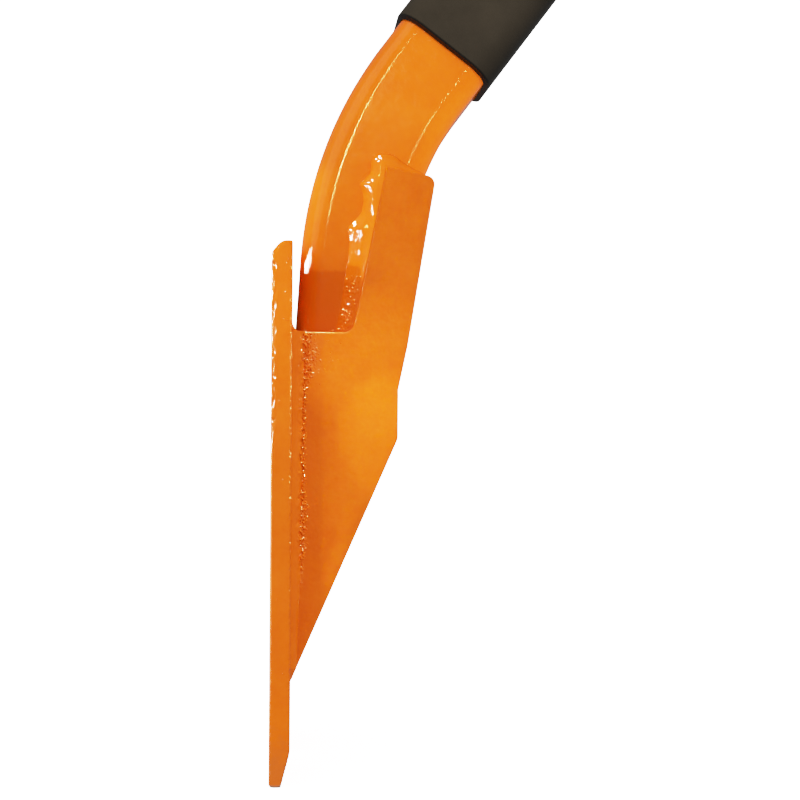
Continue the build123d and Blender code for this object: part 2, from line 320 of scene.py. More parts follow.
ARM_EDGE = ARM_FRONT - ARM_FOOT
ARM_EDGE_LENGTH = ARM_EDGE.length
ARM_TOP = ARM_REAR - ARM_FRONT
ARM_BEAD_START = -1.0 * MM
ARM_BEAD_END = ARM_EDGE_LENGTH + 15.0 * MM
ARM_CORNER_TURN = 4.0 * MM

# Width of the arm bead on the tube, by distance along the arm's edge from the notch, in millimetres:
# it swells and draws in where one puddle of weld overlaps the next
ARM_BEAD_WIDTHS = [
    (0.0, 6.3), (8.0, 6.2), (16.0, 6.6), (22.0, 7.0), (28.0, 7.2), (34.0, 8.0),
    (38.4, 9.2), (39.6, 9.3), (41.0, 8.3), (43.5, 6.6), (46.0, 5.7), (50.0, 5.8),
    (53.0, 6.7), (55.6, 8.2), (56.8, 8.1), (58.5, 6.9), (60.6, 5.6), (61.6, 5.5),
    (63.0, 6.6), (64.8, 6.6), (67.0, 5.4), (70.0, 4.0), (74.0, 2.6), (79.0, 1.2),
]

# Its height at the arm by the same distance, as a share of the gusset's thickness
ARM_BEAD_HEIGHTS = [
    (0.0, 0.62), (14.0, 0.66), (22.0, 0.80), (27.0, 0.95),
    (46.0, 0.97), (61.0, 0.93), (67.0, 0.80), (79.0, 0.42),
]

# Height of the rolled lap along its toe by the same distance, in millimetres
ARM_BEAD_LAPS = [
    (52.0, 0.0), (55.0, 0.45), (58.0, 0.45), (60.0, 0.1), (62.0, 0.45), (66.0, 0.45), (69.0, 0.0),
]

# Middle and breadth of the lap, as shares of the bead's width
LAP_MIDDLE = 0.86
LAP_BREADTH = 0.08


def arm_edge_at(distance):
    """Point of the arm's edge (depth, height) and the outward direction there."""
    forward = Vector((-ARM_EDGE.y, ARM_EDGE.x)).normalized()
    above = Vector((-ARM_TOP.y, ARM_TOP.x)).normalized()
    turn = ease(distance - ARM_EDGE_LENGTH, -ARM_CORNER_TURN, 2 * ARM_CORNER_TURN)
    outward = (forward * (1.0 - turn) + above * turn).normalized()
    if distance <= ARM_EDGE_LENGTH:
        return ARM_FOOT + ARM_EDGE.normalized() * distance, outward
    return ARM_FRONT + ARM_TOP.normalized() * (distance - ARM_EDGE_LENGTH), outward


def arm_bead_swell(distance, reach, seed):
    """Height of the waves on the arm bead: long flowing ridges above, grains near the notch."""
    along = Vector((distance, 0.0, 0.0))
    place = Vector((distance, reach, 0.0))
    bent = reach + 0.9 * MM * lumps(along, 4.5, seed + 5)
    flow = 0.40 * lumps(Vector((distance / 3.0, bent, 0.0)), 2.4, seed)
    fine = 0.06 * lumps(Vector((distance / 1.6, reach, 0.0)), 1.4, seed + 4)
    roll = 0.25 * lumps(place, 5.5, seed + 1)
    grain = 0.6 * max(lumps(place, 1.4, seed + 2), -0.2)
    past_notch = ease(distance, 14.0 * MM, 9.0 * MM)
    calmer = 0.3 * ease(distance, 44.0 * MM, 6.0 * MM)
    return MM * ((flow + fine) * (past_notch * (1.0 - calmer)) + roll + grain * (1.0 - past_notch))


def arm_bead_point(side, distance, share, seed):
    """Point of the arm bead's skin, by its place along the arm's edge and its share of the width."""
    edge, outward = arm_edge_at(distance)
    width = between(ARM_BEAD_WIDTHS, distance / MM) * MM
    width += 0.22 * MM * lumps(Vector((distance, 0.0, 0.0)), 2.2, seed + 3)
    rise = GUSSET_THICKNESS * between(ARM_BEAD_HEIGHTS, distance / MM)
    bow = 1.3 + 1.1 * ease(distance, 42.0 * MM, 8.0 * MM)
    belly = sin(share * pi) ** 0.7
    height = rise * (1.0 - share ** bow) + arm_bead_swell(distance, width * share, seed) * belly
    lap = between(ARM_BEAD_LAPS, distance / MM) * MM
    height += lap * bell(share - LAP_MIDDLE, LAP_BREADTH)
    place = edge + outward * width * share
    return Vector((place.x, side * (TUBE_HALF + max(height, 0.0)), place.y))


def make_arm_bead(side, seed, material):
    """Bead along the arm's front edge and over its top, flowing at the top, lumpy at the notch."""
    steps = 36
    pitch = 0.3 * MM
    sink = 0.4 * MM
    hidden_share = 0.9
    buried = side * (TUBE_HALF - sink)
    rings = []
    for distance in stations(ARM_BEAD_START, ARM_BEAD_END, pitch):
        edge, outward = arm_edge_at(distance)
        rise = GUSSET_THICKNESS * between(ARM_BEAD_HEIGHTS, distance / MM)
        ring = [arm_bead_point(side, distance, share, seed) for share in shares(steps)]
        toe = ring[-1]
        inner = edge - outward * sink
        top = side * (TUBE_HALF + rise * hidden_share)
        ring += [(toe.x, buried, toe.z), (inner.x, buried, inner.y), (inner.x, top, inner.y)]
        rings.append(ring)
    replaced = [f"weld_arm_front_{hand(side)}", f"weld_arm_top_{hand(side)}"]
    return ringed_piece(f"arm_bead_{hand(side)}", [rings], material, replaced)


# Weld bead between blade and gusset

BLADE_BEAD_TOP = ARM_FOOT.y
BLADE_BEAD_FOOT = GUSSET_FOOT_Z + 1.2 * MM
BLADE_BEAD_SINK = 0.5 * MM

# Width of the blade bead by height on the bar, in millimetres
BLADE_BEAD_WIDTHS = [(-64.0, 2.2), (-40.0, 2.9), (-19.0, 3.8), (20.0, 4.4), (67.1, 4.7)]


def blade_bead_width(height):
    """Width of the blade bead at a height on the bar."""
    return between(BLADE_BEAD_WIDTHS, height / MM) * MM


def fillet(share, flatness):
    """Place on a fillet's skin as shares of its two legs, from a round fillet to a flat one."""
    angle = share * pi / 2
    bowed = 1.0 - flatness
    return flatness * share + bowed * sin(angle), flatness * (1.0 - share) + bowed * cos(angle)


def notch_return(side, seed):
    """Rings of the blade bead's upper end, turned onto the floor of the notch."""
    depth = 2.9 * MM
    rise = 3.6 * MM
    hollow = 1.6
    steps = 8
    pitch = 0.4 * MM
    floor = ARM_FOOT.y - BLADE_BEAD_SINK
    buried = BLADE_BACK - BLADE_BEAD_SINK
    outer = GUSSET_OUTSIDE + 1.6 * MM
    rings = []
    for across in stations(TUBE_HALF - BLADE_BEAD_SINK, outer, pitch):
        shrink = 1.0 - 0.5 * ease(across - GUSSET_OUTSIDE, -1.0 * MM, 2.6 * MM)
        ring = []
        for share in shares(steps):
            point = Vector((
                BLADE_BACK + depth * shrink * share ** hollow,
                side * across,
                ARM_FOOT.y + rise * shrink * (1.0 - share) ** hollow,
            ))
            point.z += 0.2 * MM * lumps(point, 2.0, seed + 4)
            ring.append(point)
        toe = ring[-1]
        ring += [(toe.x, toe.y, floor), (buried, toe.y, floor), (buried, toe.y, ring[0].z)]
        rings.append(ring)
    return rings


def make_blade_bead(side, seed, material):
    """Fillet between blade and gusset: thin and smooth near the tip, rough and porous above."""
    steps = 14
    pitch = 0.32 * MM
    buried = BLADE_BACK - BLADE_BEAD_SINK
    inside = side * (GUSSET_OUTSIDE - BLADE_BEAD_SINK)
    rings = []
    for height in stations(BLADE_BEAD_FOOT, BLADE_BEAD_TOP, pitch):
        plate_width = (height - GUSSET_FOOT_Z) / GUSSET_SLANT
        width = min(blade_bead_width(height), plate_width)
        roughness = ease(height, -34.0 * MM, 22.0 * MM)
        ring = []
        for share in shares(steps):
            reach, out = fillet(share, flatness=0.75)
            point = Vector((BLADE_BACK + width * reach, side * (GUSSET_OUTSIDE + width * out), height))
            toe_share = ease(share, 0.35, 0.5)
            pit = max(lumps(point, 1.1, seed + 2) - 0.22, 0.0)
            swell = 0.25 * MM * lumps(point, 6.0, seed)
            swell += 0.6 * MM * roughness * toe_share * lumps(point, 1.7, seed + 1)
            swell -= 1.6 * MM * roughness * toe_share * pit
            toe_swell = 0.5 * MM * lumps(point, 2.6, seed + 3) * share * roughness
            push = swell * sin(share * pi) * sqrt(0.5)
            point += Vector((push + toe_swell, side * push, 0.0))
            ring.append(point)
        toe = ring[-1]
        ring += [(toe.x, inside, height), (buried, inside, height), (buried, ring[0].y, height)]
        rings.append(ring)
    rows = [rings, notch_return(side, seed)]
    return ringed_piece(f"blade_bead_{hand(side)}", rows, material, [f"weld_blade_{hand(side)}"])


# Weld beads behind the arm and at the tube's foot

BACK_BEAD_START = 17.5 * MM
BACK_BEAD_END = LEG_LENGTH + BEND_RADIUS * radians(13.2)

# Ends of the back bead's skin and its buried corners, as (back, across) from the tube's axis
BACK_BEAD_SKIN = [Vector((22.1, 20.0)) * MM, Vector((20.0, 12.0)) * MM]
BACK_BEAD_BURIED = [Vector((16.6, 16.6)) * MM, Vector((12.5, 19.8)) * MM, Vector((22.1, 20.3)) * MM]


def make_back_bead(side, seed, material):
    """Flare bead in the groove between the arm's overhang and the tube's rear corner."""
    steps = 12
    pitch = 0.45 * MM
    run_out = 5.0 * MM
    hollow = 1.2 * MM
    swell_height = 0.5 * MM
    ripple_height = 0.12 * MM
    ripple_pitch = 2.6 * MM
    ripple_bow = 2.5 * MM
    start, end = BACK_BEAD_SKIN
    out = Vector((start.y - end.y, end.x - start.x)).normalized()
    rings = []
    for distance in stations(BACK_BEAD_START, BACK_BEAD_END, pitch):
        from_end = min(distance - BACK_BEAD_START, BACK_BEAD_END - distance)
        taper = ease(from_end, 0.0, run_out)
        ring = []
        for share in shares(steps):
            section = start + (end - start) * share
            point = tube_point(distance, section.x, side * section.y)
            belly = sin(share * pi)
            ripple = sin((distance - ripple_bow * belly) / ripple_pitch * 2 * pi)
            swell = swell_height + ripple_height * ripple + swell_height * lumps(point, 4.0, seed)
            section += out * belly * (swell * taper - hollow * (1.0 - taper))
            ring.append(tube_point(distance, section.x, side * section.y))
        ring += [tube_point(distance, back, side * across) for back, across in BACK_BEAD_BURIED]
        rings.append(ring)
    return ringed_piece(f"back_bead_{hand(side)}", [rings], material, [f"weld_arm_back_{hand(side)}"])


def make_foot_bead(seed, material):
    """Short bead between the tube's lower end and the back of the blade."""
    leg = 4.0 * MM
    reach_full = leg * 0.75
    inner = BLADE_BACK + reach_full
    buried = BLADE_BACK - 0.3 * MM
    steps = 8
    pitch = 0.5 * MM
    corner = tube_point(0.0, -TUBE_HALF, 0.0)
    rings = []
    for across in stations(-TUBE_FLAT, TUBE_FLAT, pitch):
        ring = []
        for share in shares(steps):
            reach, drop = fillet(share, flatness=0.5)
            point = Vector((BLADE_BACK + reach_full * reach, across, corner.z - leg * drop))
            point.z += 0.3 * MM * lumps(point, 2.5, seed) * sin(share * pi)
            ring.append(point)
        ring += [(inner, across, corner.z), (buried, across, corner.z), (buried, across, corner.z - leg)]
        rings.append(ring)
    return ringed_piece("foot_bead", [rings], material, ["weld_tube_foot"])


# Crust and spatter

def drop_shape():
    """Points and faces of a round drop of unit size."""
    work = bmesh.new()
    bmesh.ops.create_icosphere(work, subdivisions=2, radius=1.0)
    work.verts.index_update()
    points = [vert.co.copy() for vert in work.verts]
    faces = [[vert.index for vert in face.verts] for face in work.faces]
    work.free()
    return points, faces


DROP_POINTS, DROP_FACES = drop_shape()


def add_drop(work, place, size, height, axis):
    """Low rounded drop on a face whose outward direction is given."""
    turn = axis.to_track_quat("Z", "Y").to_matrix().to_4x4()
    scale = Matrix.Diagonal((size[0], size[1], height, 1.0))
    matrix = Matrix.Translation(place) @ turn @ scale
    corners = [work.verts.new(matrix @ point) for point in DROP_POINTS]
    for face in DROP_FACES:
        work.faces.new([corners[index] for index in face])


CRUST_LOW = -34.0 * MM
CRUST_HIGH = BLADE_BEAD_TOP - 0.9 * MM
CRUST_NEAR = BLADE_BACK + 3.2 * MM
CRUST_FAR = BLADE_BACK + 13.5 * MM


def crust_rise(side, depth, height, seed):
    """Height of the crust's grains on the gusset, as a share of the crust's thickness."""
    point = Vector((depth, side * GUSSET_OUTSIDE, height))
    from_toe = depth - BLADE_BACK - blade_bead_width(height)
    along = ease(height, CRUST_LOW, 18.0 * MM)
    patch = ease(height, 44.0 * MM, 9.0 * MM) + 0.3 * bell(height + 4.0 * MM, 13.0 * MM)
    patch *= 0.55 + 0.45 * lumps(point, 6.0, seed + 2)
    spread = (0.9 + 6.0 * patch) * MM
    share = along * bell(max(from_toe, 0.0), spread)
    grain = 0.6 * lumps(point, 1.5, seed) + lumps(point, 0.7, seed + 1)
    return max(grain + 0.5 * share - 0.25, 0.0) * share


def make_crust(side, seed, material):
    """Crust of spatter along the toe of the blade bead, spreading onto the gusset below the notch."""
    pitch = 0.2 * MM
    sink = 0.12 * MM
    thickness = 1.7 * MM
    least_rise = 0.03
    work = bmesh.new()
    rows = []
    for height in stations(CRUST_LOW, CRUST_HIGH, pitch):
        row = []
        for depth in stations(CRUST_NEAR, CRUST_FAR, pitch):
            rise = crust_rise(side, depth, height, seed)
            lift = sink if rise > least_rise else 0.0
            out = GUSSET_OUTSIDE - sink + thickness * rise + lift
            row.append(work.verts.new((depth, side * out, height)))
        rows.append(row)
    for lower, upper in zip(rows, rows[1:]):
        for place in range(len(lower) - 1):
            corners = (lower[place], lower[place + 1], upper[place + 1], upper[place])
            if any(abs(corner.co.y) > GUSSET_OUTSIDE for corner in corners):
                work.faces.new(corners)
    bmesh.ops.delete(work, geom=[vert for vert in work.verts if not vert.link_faces], context="VERTS")
    return new_piece(f"crust_{hand(side)}", work, material)


def patch_drop(draw):
    """Height, distance from the blade's back and radius of a drop in the patch below the notch."""
    down = draw.random() ** 1.2
    height = BLADE_BEAD_TOP - (0.8 + 18.0 * down) * MM
    from_back = draw.gauss(5.2, 1.9 - 0.9 * down) * MM
    return height, from_back, draw.uniform(0.16, 0.42) * MM


def toe_drop(draw):
    """The same for a drop along the blade bead's toe."""
    height = draw.uniform(-48.0, 49.0) * MM
    from_back = blade_bead_width(height) + draw.gauss(-0.4, 0.5) * MM
    return height, from_back, draw.uniform(0.13, 0.32) * MM


def add_sliver(work, side):
    """Flat drop at the floor of the notch, leaning towards the blade."""
    place = Vector((22.6 * MM, side * (TUBE_HALF + 2.6 * MM), ARM_FOOT.y + 0.5 * MM))
    add_drop(work, place, (1.5 * MM, 1.0 * MM), 0.4 * MM, Vector((-0.35, 0.0, 1.0)))


def make_spatter(side, seed, bead_seed, material):
    """Drops of weld spatter along the blade bead's toe, in a patch below the notch and on the arm bead."""
    patch_drops = 170
    toe_drops = 160
    stray_drops = 12
    arm_drops = 34
    arm_stretch = 22.0 * MM
    nearest = 2.0 * MM
    draw = random.Random(seed)
    work = bmesh.new()
    outward = Vector((0.0, side, 0.0))
    for kind in [patch_drop] * patch_drops + [toe_drop] * toe_drops:
        height, from_back, radius = kind(draw)
        from_back = max(from_back, nearest)
        proud = max(blade_bead_width(height) - from_back, 0.0) * 1.05
        place = Vector((BLADE_BACK + from_back, side * (GUSSET_OUTSIDE + proud), height))
        size = (radius * draw.uniform(0.8, 1.4), radius * draw.uniform(0.8, 1.3))
        add_drop(work, place, size, radius * 0.9, outward)
    for _ in range(stray_drops):
        height = BLADE_BEAD_TOP - draw.uniform(2.0, 20.0) * MM
        place = Vector((BLADE_BACK + draw.uniform(8.0, 20.0) * MM, side * GUSSET_OUTSIDE, height))
        radius = draw.uniform(0.15, 0.32) * MM
        add_drop(work, place, (radius * 1.3, radius), radius * 0.8, outward)
    for _ in range(arm_drops):
        distance = arm_stretch * draw.random() ** 1.2
        place = arm_bead_point(side, distance, draw.uniform(0.15, 0.9), bead_seed)
        radius = draw.uniform(0.3, 0.65) * MM
        add_drop(work, place, (radius * draw.uniform(0.8, 1.1), radius), radius * 0.9, outward)
    add_sliver(work, side)
    return new_piece(f"spatter_{hand(side)}", work, material)


# Blade with worn edges

BLADE_CORNER = 0.8 * MM
WEAR_SEED = 70

# Nibs in the paint of the blade's sides: depth, height, length and width, in millimetres
BLADE_NIBS = [
    (6.1, 92.6, 0.9, 0.22), (5.6, 91.4, 0.5, 0.3), (5.2, 80.6, 0.35, 0.5), (4.9, 70.8, 0.3, 0.6),
    (5.8, 70.3, 0.3, 0.7), (6.3, 88.0, 0.4, 0.18), (3.1, 41.0, 0.3, 0.3), (4.4, 12.5, 0.4, 0.25),
    (2.6, -31.0, 0.35, 0.3), (5.0, -58.0, 0.3, 0.3),
]


def first_hit(tree, origin, direction):
    """Distance from a point to the solid along a direction, and whether the point is outside the solid."""
    place, normal, _, distance = tree.ray_cast(Vector(origin), Vector(direction))
    if place is None:
        return None, True
    return distance, normal.dot(Vector(direction)) < 0.0


def rounding(gap, radius):
    """How far a rounded edge of this radius draws in at a gap below its top."""
    gap = min(max(gap, 0.0), radius)
    return radius - sqrt(radius * radius - (radius - gap) ** 2)


def blade_section(tree, height):
    """Front, back, half width and half slot of the blade's solid at a height."""
    probe = BLADE_HALF_WIDTH / 2
    reach = 0.1
    front = first_hit(tree, (-reach, probe, height), (1, 0, 0))[0] - reach
    back = reach - first_hit(tree, (reach, probe, height), (-1, 0, 0))[0]
    middle = (front + back) / 2
    half_width = reach - first_hit(tree, (middle, reach, height), (0, -1, 0))[0]
    slot, outside = first_hit(tree, (middle, 0.0, height), (0, 1, 0))
    if not (outside and slot):
        slot = 0.0
    return front, back, half_width, slot


def edge_round(centre, near, start):
    """Quarter circle of a worn long edge, as (depth, across) pairs, turning back from a start angle."""
    steps = 8
    points = []
    for share in shares(steps):
        angle = start - share * pi / 2
        points.append((centre + BLADE_CORNER * cos(angle), near + BLADE_CORNER * sin(angle)))
    return points


def blade_outline(front, back, half_width, slot):
    """Half of the blade's section with rounded edges, as (depth, across) pairs."""
    side_steps = 18
    rim = 3.0 * MM
    rim_steps = 6
    near = half_width - BLADE_CORNER
    start = front + BLADE_CORNER
    span = back - front - 2 * BLADE_CORNER
    outline = edge_round(start, near, pi)
    outline += [(start + span * step / side_steps, half_width) for step in range(1, side_steps)]
    outline += edge_round(back - BLADE_CORNER, near, pi / 2)
    outline += [(back, near - rim * step / rim_steps) for step in range(1, rim_steps + 1)]
    outline += [(back, slot), (front, slot)]
    outline += [(front, near - rim * (1.0 - step / rim_steps)) for step in range(rim_steps)]
    return outline


def edge_wear(point, front, back, seed):
    """Depth to which the blade's long edges are worn at a point of its skin."""
    front_breadth = 1.3 * MM
    back_breadth = 0.8 * MM
    from_side = max(BLADE_HALF_WIDTH - abs(point.y), 0.0)
    from_front = hypot(max(point.x - front, 0.0), from_side)
    from_back = hypot(max(back - point.x, 0.0), from_side)
    stroke = Vector((point.x, point.y, point.z / 2.2))
    ragged = 0.35 + 1.3 * lumps(stroke, 1.3, seed) + 1.1 * lumps(point, 4.0, seed + 1)
    fine = 0.15 + 1.6 * lumps(point, 0.8, seed + 2)
    high = 0.06 + 0.94 * ease(point.z, 24.0 * MM, 14.0 * MM)
    depth = 1.0 * MM * min(max(ragged, 0.0), 1.2) * high * bell(from_front, front_breadth)
    depth += 0.45 * MM * min(max(fine, 0.0), 1.0) * bell(from_back, back_breadth)
    return depth


def blade_heights():
    """Heights of the blade's rings, closer together at the tip and the heel."""
    inset = 0.02 * MM
    close_end = 1.4 * MM
    close_pitch = 0.12 * MM
    wide_start = 1.5 * MM
    wide_pitch = 0.4 * MM
    heights = stations(TIP_Z + inset, TIP_Z + close_end, close_pitch)
    heights += stations(TIP_Z + wide_start, HEEL_Z - wide_start, wide_pitch)
    heights += stations(HEEL_Z - close_end, HEEL_Z - inset, close_pitch)
    return heights


def make_blade(material):
    """Blade of the solid's own profile, in two halves, with ragged worn edges."""
    tree = BVHTree.FromObject(NODES["blade"], bpy.context.evaluated_depsgraph_get())
    film = 0.12 * MM
    heights = blade_heights()
    sections = [blade_section(tree, height) for height in heights]
    work = bmesh.new()
    for side in (-1, 1):
        rings = []
        for height, (front, back, half_width, slot) in zip(heights, sections):
            back -= rounding(HEEL_Z - height, BLADE_CORNER)
            middle = (front + back) / 2
            half_depth = (back - front) / 2
            ring = []
            for depth, across in blade_outline(front, back, half_width - film, slot):
                point = Vector((depth, side * across, height))
                if across > slot:
                    inward = Vector((middle - depth, -side * half_depth, 0.0)).normalized()
                    point += inward * edge_wear(point, front, back, WEAR_SEED + side)
                ring.append(point)
            rings.append(ring)
        add_rings(work, rings)
        outward = Vector((0.0, side, 0.0))
        for depth, height, length, width in BLADE_NIBS:
            place = Vector((depth * MM, side * (BLADE_HALF_WIDTH - film), height * MM))
            add_drop(work, place, (width * MM, length * MM), film, outward)
    return new_piece("blade_body", work, material, ["blade"], BLADE_CREASE)


# Nodes of materials

# Places of the share and the two colours on a mix node, and of its colour output
MIX_SHARE = 0
MIX_LOW = 6
MIX_HIGH = 7
MIX_COLOUR = 2


def new_material(name):
    """Empty principled material: its node tree and shader."""
    material = bpy.data.materials.new(name)
    material.use_nodes = True
    tree = material.node_tree
    shader = next(node for node in tree.nodes if node.type == "BSDF_PRINCIPLED")
    return material, tree, shader


def set_inputs(tree, node, inputs):
    """Set inputs of a node, each to a plain value or to the output of another node."""
    for place, value in inputs.items():
        if isinstance(value, bpy.types.NodeSocket):
            tree.links.new(value, node.inputs[place])
        else:
            node.inputs[place].default_value = value


def add_node(tree, kind, inputs, **settings):
    """New node of a kind, with its settings and inputs."""
    node = tree.nodes.new("ShaderNode" + kind)
    for name, value in settings.items():
        setattr(node, name, value)
    set_inputs(tree, node, inputs)
    return node


def object_place(tree):
    """The object's own coordinates."""
    return add_node(tree, "TexCoord", {}).outputs["Object"]


def noise_node(tree, scale, detail=2.0, roughness=0.5):
    """Noise in the object's own coordinates."""
    inputs = {"Vector": object_place(tree), "Scale": scale, "Detail": detail, "Roughness": roughness}
    return add_node(tree, "TexNoise", inputs).outputs["Fac"]


def ramp_node(tree, source, stops):
    """Colour ramp over a value, from (position, colour) stops."""
    node = add_node(tree, "ValToRGB", {"Fac": source})
    elements = node.color_ramp.elements
    while len(elements) < len(stops):
        elements.new(0.5)
    for element, (position, colour) in zip(elements, stops):
        element.position = position
        element.color = (*colour, 1.0)
    return node.outputs["Color"]


def range_node(tree, source, low=0.0, high=1.0, start=0.0, end=1.0):
    """Value that runs from low to high as its source runs from start to end."""
    inputs = {"Value": source, "From Min": start, "From Max": end, "To Min": low, "To Max": high}
    return add_node(tree, "MapRange", inputs).outputs["Result"]


def math_node(tree, operation, first, second):
    """Result of an operation on two values."""
    return add_node(tree, "Math", {0: first, 1: second}, operation=operation).outputs["Value"]


def blend_node(tree, share, low, high):
    """Colour that goes from a plain one at share 0 to another output at share 1."""
    inputs = {MIX_SHARE: share, MIX_LOW: (*low, 1.0), MIX_HIGH: high}
    return add_node(tree, "Mix", inputs, data_type="RGBA").outputs[MIX_COLOUR]


def bump_node(tree, scale, distance, strength=0.5, detail=2.0, below=None):
    """Bump from noise, up to a distance in metres, on top of another bump if given."""
    inputs = {"Height": noise_node(tree, scale, detail), "Distance": distance, "Strength": strength}
    if below is not None:
        inputs["Normal"] = below
    return add_node(tree, "Bump", inputs).outputs["Normal"]


# Materials

PAINT = (0.87, 0.165, 0.0045)
PAINT_DEEP = (0.82, 0.146, 0.0035)
PAINT_LIGHT = (0.91, 0.184, 0.0060)
# Painted shade: darker, redder paint that stands in for the heel's shadow on the tube in the notch and on
# the lower arm bead
PAINT_SHADED = (0.70, 0.117, 0.0025)
PAINT_SCUFFED = (0.70, 0.155, 0.014)
PAINT_SPECULAR = 0.42
WORN_STEEL = (0.30, 0.20, 0.13)
RUBBER_DARK = (0.020, 0.0147, 0.0084)
RUBBER_LIGHT = (0.026, 0.0190, 0.0108)
RUBBER_ROUGHNESS = (0.5, 0.68)
# Painted shade: near-black rubber that stands in for the unlit cut end of the sleeve
RUBBER_PAINTED_SHADE = (0.004, 0.003, 0.002)
PLUG_DARK = (0.014,) * 3
PLUG_LIGHT = (0.022,) * 3
PLUG_ROUGHNESS = 0.45


def change_below(tree, colour, under, line, blur):
    """Colour of the paint, turning to another below a height on the bar, with a ragged border: worn paint,
    or painted shade.
    """
    split = add_node(tree, "SeparateXYZ", {"Vector": object_place(tree)})
    border = range_node(tree, noise_node(tree, scale=300.0), line - 2.0 * blur, line)
    above = math_node(tree, "SUBTRACT", split.outputs["Z"], border)
    return blend_node(tree, range_node(tree, above, end=blur), under, colour)


def make_paint(name, peel, fine, gloss=(0.07, 0.14), gloss_scale=160.0, layers=()):
    """Glossy orange paint with orange peel and an uneven film, and other colours below the lines given."""
    material, tree, shader = new_material(name)
    clouds = noise_node(tree, scale=45.0, detail=5.0, roughness=0.8)
    colour = ramp_node(tree, clouds, [(0.32, PAINT_DEEP), (0.5, PAINT), (0.68, PAINT_LIGHT)])
    for under, line, blur in layers:
        colour = change_below(tree, colour, under, line, blur)
    mirror = range_node(tree, noise_node(tree, gloss_scale), *gloss)
    coarse = bump_node(tree, scale=330.0, distance=peel, detail=1.0)
    grain = bump_node(tree, scale=1100.0, distance=fine, below=coarse)
    set_inputs(tree, shader, {"Base Color": colour, "Roughness": mirror, "Normal": grain})
    set_inputs(tree, shader, {"Specular IOR Level": PAINT_SPECULAR})
    return material


def make_rubber():
    """Matte black rubber, faintly mottled, with painted shade making it blacker at the cut end on the tube.
    """
    shade_depth = 1.1 * MM
    shade_fade_end = 1.5 * MM
    material, tree, shader = new_material("rubber")
    clouds = noise_node(tree, scale=60.0, detail=5.0, roughness=0.65)
    skin = ramp_node(tree, clouds, [(0.3, RUBBER_DARK), (0.7, RUBBER_LIGHT)])
    handle_way = upward(HANDLE_LEAN)
    along = add_node(tree, "VectorMath", {0: object_place(tree), 1: handle_way}, operation="DOT_PRODUCT")
    cut = tube_point(SLEEVE_START, 0.0, 0.0).dot(handle_way)
    # Painted shade over the cut end, fading out along the handle
    past_shade_band = range_node(tree, along.outputs["Value"], start=cut + shade_depth, end=cut + shade_fade_end)
    colour = blend_node(tree, past_shade_band, RUBBER_PAINTED_SHADE, skin)
    gloss = range_node(tree, noise_node(tree, scale=400.0, detail=3.0), *RUBBER_ROUGHNESS)
    grain = bump_node(tree, scale=2200.0, distance=0.06 * MM, detail=3.0)
    set_inputs(tree, shader, {"Base Color": colour, "Roughness": gloss, "Normal": grain})
    return material


def make_plug_plastic():
    """Black moulded plastic of the end plug."""
    material, tree, shader = new_material("plug_plastic")
    clouds = noise_node(tree, scale=120.0, detail=3.0)
    colour = ramp_node(tree, clouds, [(0.3, PLUG_DARK), (0.7, PLUG_LIGHT)])
    grain = bump_node(tree, scale=1500.0, distance=0.05 * MM, strength=0.4)
    set_inputs(tree, shader, {"Base Color": colour, "Roughness": PLUG_ROUGHNESS, "Normal": grain})
    return material


# Stage

WHITE = (1.0,) * 3
WARM = (1.0, 0.86, 0.55)
YELLOW = (1.0, 0.93, 0.42)

FLOOR_HALF = 12.0
FLOOR_COLOUR = (0.85,) * 3
FLOOR_ROUGHNESS = 0.9
FLOOR_GLOW = 2.7

# Strength of the surround: as seen, as a light from the front, from behind and from below the bar,
# and as the gloss mirrors it in front and behind
SURROUND_SEEN = 3.4
SURROUND_FRONT = 1.30
SURROUND_BACK = 0.42
SURROUND_BELOW = 0.15
MIRRORED_FRONT = 0.06
MIRRORED_BACK = 0.22

# Tone curve of the picture: straight in the shadows, rolling off to white
TONE_WHITE = 3.2
TONE_POINTS = [(0.3, 0.3), (0.6, 0.6), (0.83, 0.715), (1.1, 0.797), (1.7, 0.885)]
COMBINED_CURVE = 3


def make_floor():
    """Pale floor under the tip, kept out of the paint's reflections."""
    mesh = bpy.data.meshes.new("floor")
    signs = [(-1, -1), (1, -1), (1, 1), (-1, 1)]
    mesh.from_pydata([(x * FLOOR_HALF, y * FLOOR_HALF, TIP_Z) for x, y in signs], [], [(0, 1, 2, 3)])
    floor = new_object("floor", mesh)
    material, tree, shader = new_material("floor")
    set_inputs(tree, shader, {"Base Color": (*FLOOR_COLOUR, 1.0), "Roughness": FLOOR_ROUGHNESS})
    set_inputs(tree, shader, {"Emission Color": (*WHITE, 1.0), "Emission Strength": FLOOR_GLOW})
    mesh.materials.append(material)
    floor.visible_glossy = False
    floor.visible_diffuse = False
    floor.visible_shadow = False


def make_world():
    """White surround: bright as the camera sees it, soft as a light, dim in front as a reflection."""
    world = bpy.data.worlds.new("studio")
    bpy.context.scene.world = world
    world.use_nodes = True
    tree = world.node_tree
    background = next(node for node in tree.nodes if node.type == "BACKGROUND")
    path = add_node(tree, "LightPath", {})
    place = add_node(tree, "TexCoord", {}).outputs["Generated"]
    split = add_node(tree, "SeparateXYZ", {"Vector": place})

    def front_to_back(front, back):
        return range_node(tree, split.outputs["Y"], front, back, start=-0.6, end=0.7)

    def choose(test, otherwise, chosen):
        inputs = {"Factor": path.outputs[test], "A": otherwise, "B": chosen}
        return add_node(tree, "Mix", inputs, data_type="FLOAT").outputs["Result"]

    rising = range_node(tree, split.outputs["Z"], SURROUND_BELOW, 1.0, start=-0.8, end=0.2)
    lighting = math_node(tree, "MULTIPLY", front_to_back(SURROUND_FRONT, SURROUND_BACK), rising)
    mirrored = choose("Is Glossy Ray", lighting, front_to_back(MIRRORED_FRONT, MIRRORED_BACK))
    seen = choose("Is Camera Ray", mirrored, SURROUND_SEEN)
    set_inputs(tree, background, {"Color": (*WHITE, 1.0), "Strength": seen})


